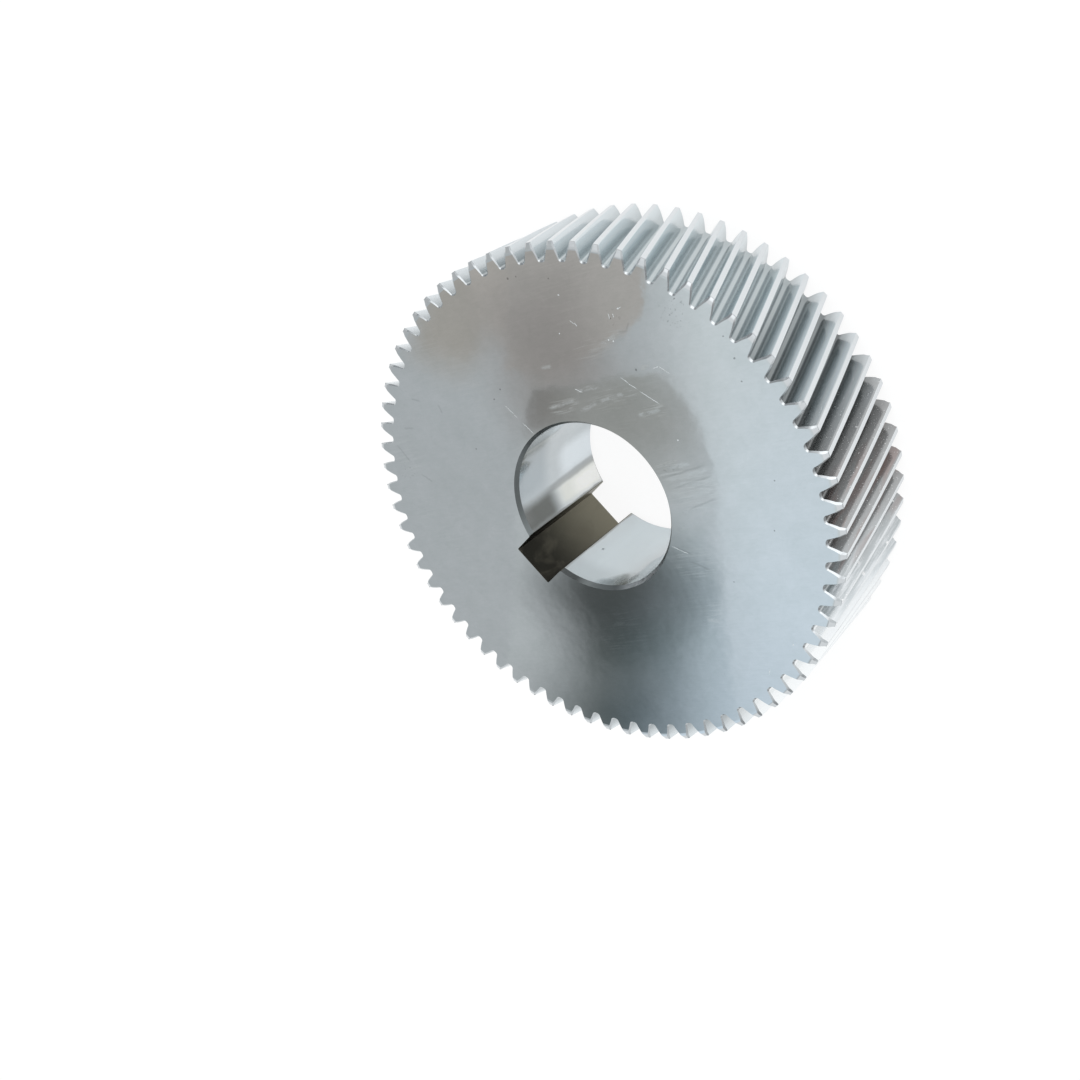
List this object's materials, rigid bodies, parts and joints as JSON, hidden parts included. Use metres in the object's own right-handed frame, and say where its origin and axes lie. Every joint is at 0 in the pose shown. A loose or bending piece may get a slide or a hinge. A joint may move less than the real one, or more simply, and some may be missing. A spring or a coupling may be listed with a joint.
{
  "type": "gear wheel",
  "caption": "Steel helical gear wheel: a plain flat disc with left-hand teeth round its rim, bevelled tooth ends, and a smooth bevelled bore with one deep keyway.",
  "frame": {"origin": "centre of the bore in the plane of the back face, on which the wheel lies", "axes": "+Z along the bore from the back face to the front face, +X from the bore's axis to the middle of the keyway"},
  "size_m": [0.1818, 0.1818, 0.051],
  "materials": {
    "gear_steel": "ground faces, polished bore and tooth flanks"
  },
  "bodies": {
    "root": {"gear_wheel": "gear_steel"}
  },
  "joints": []
}
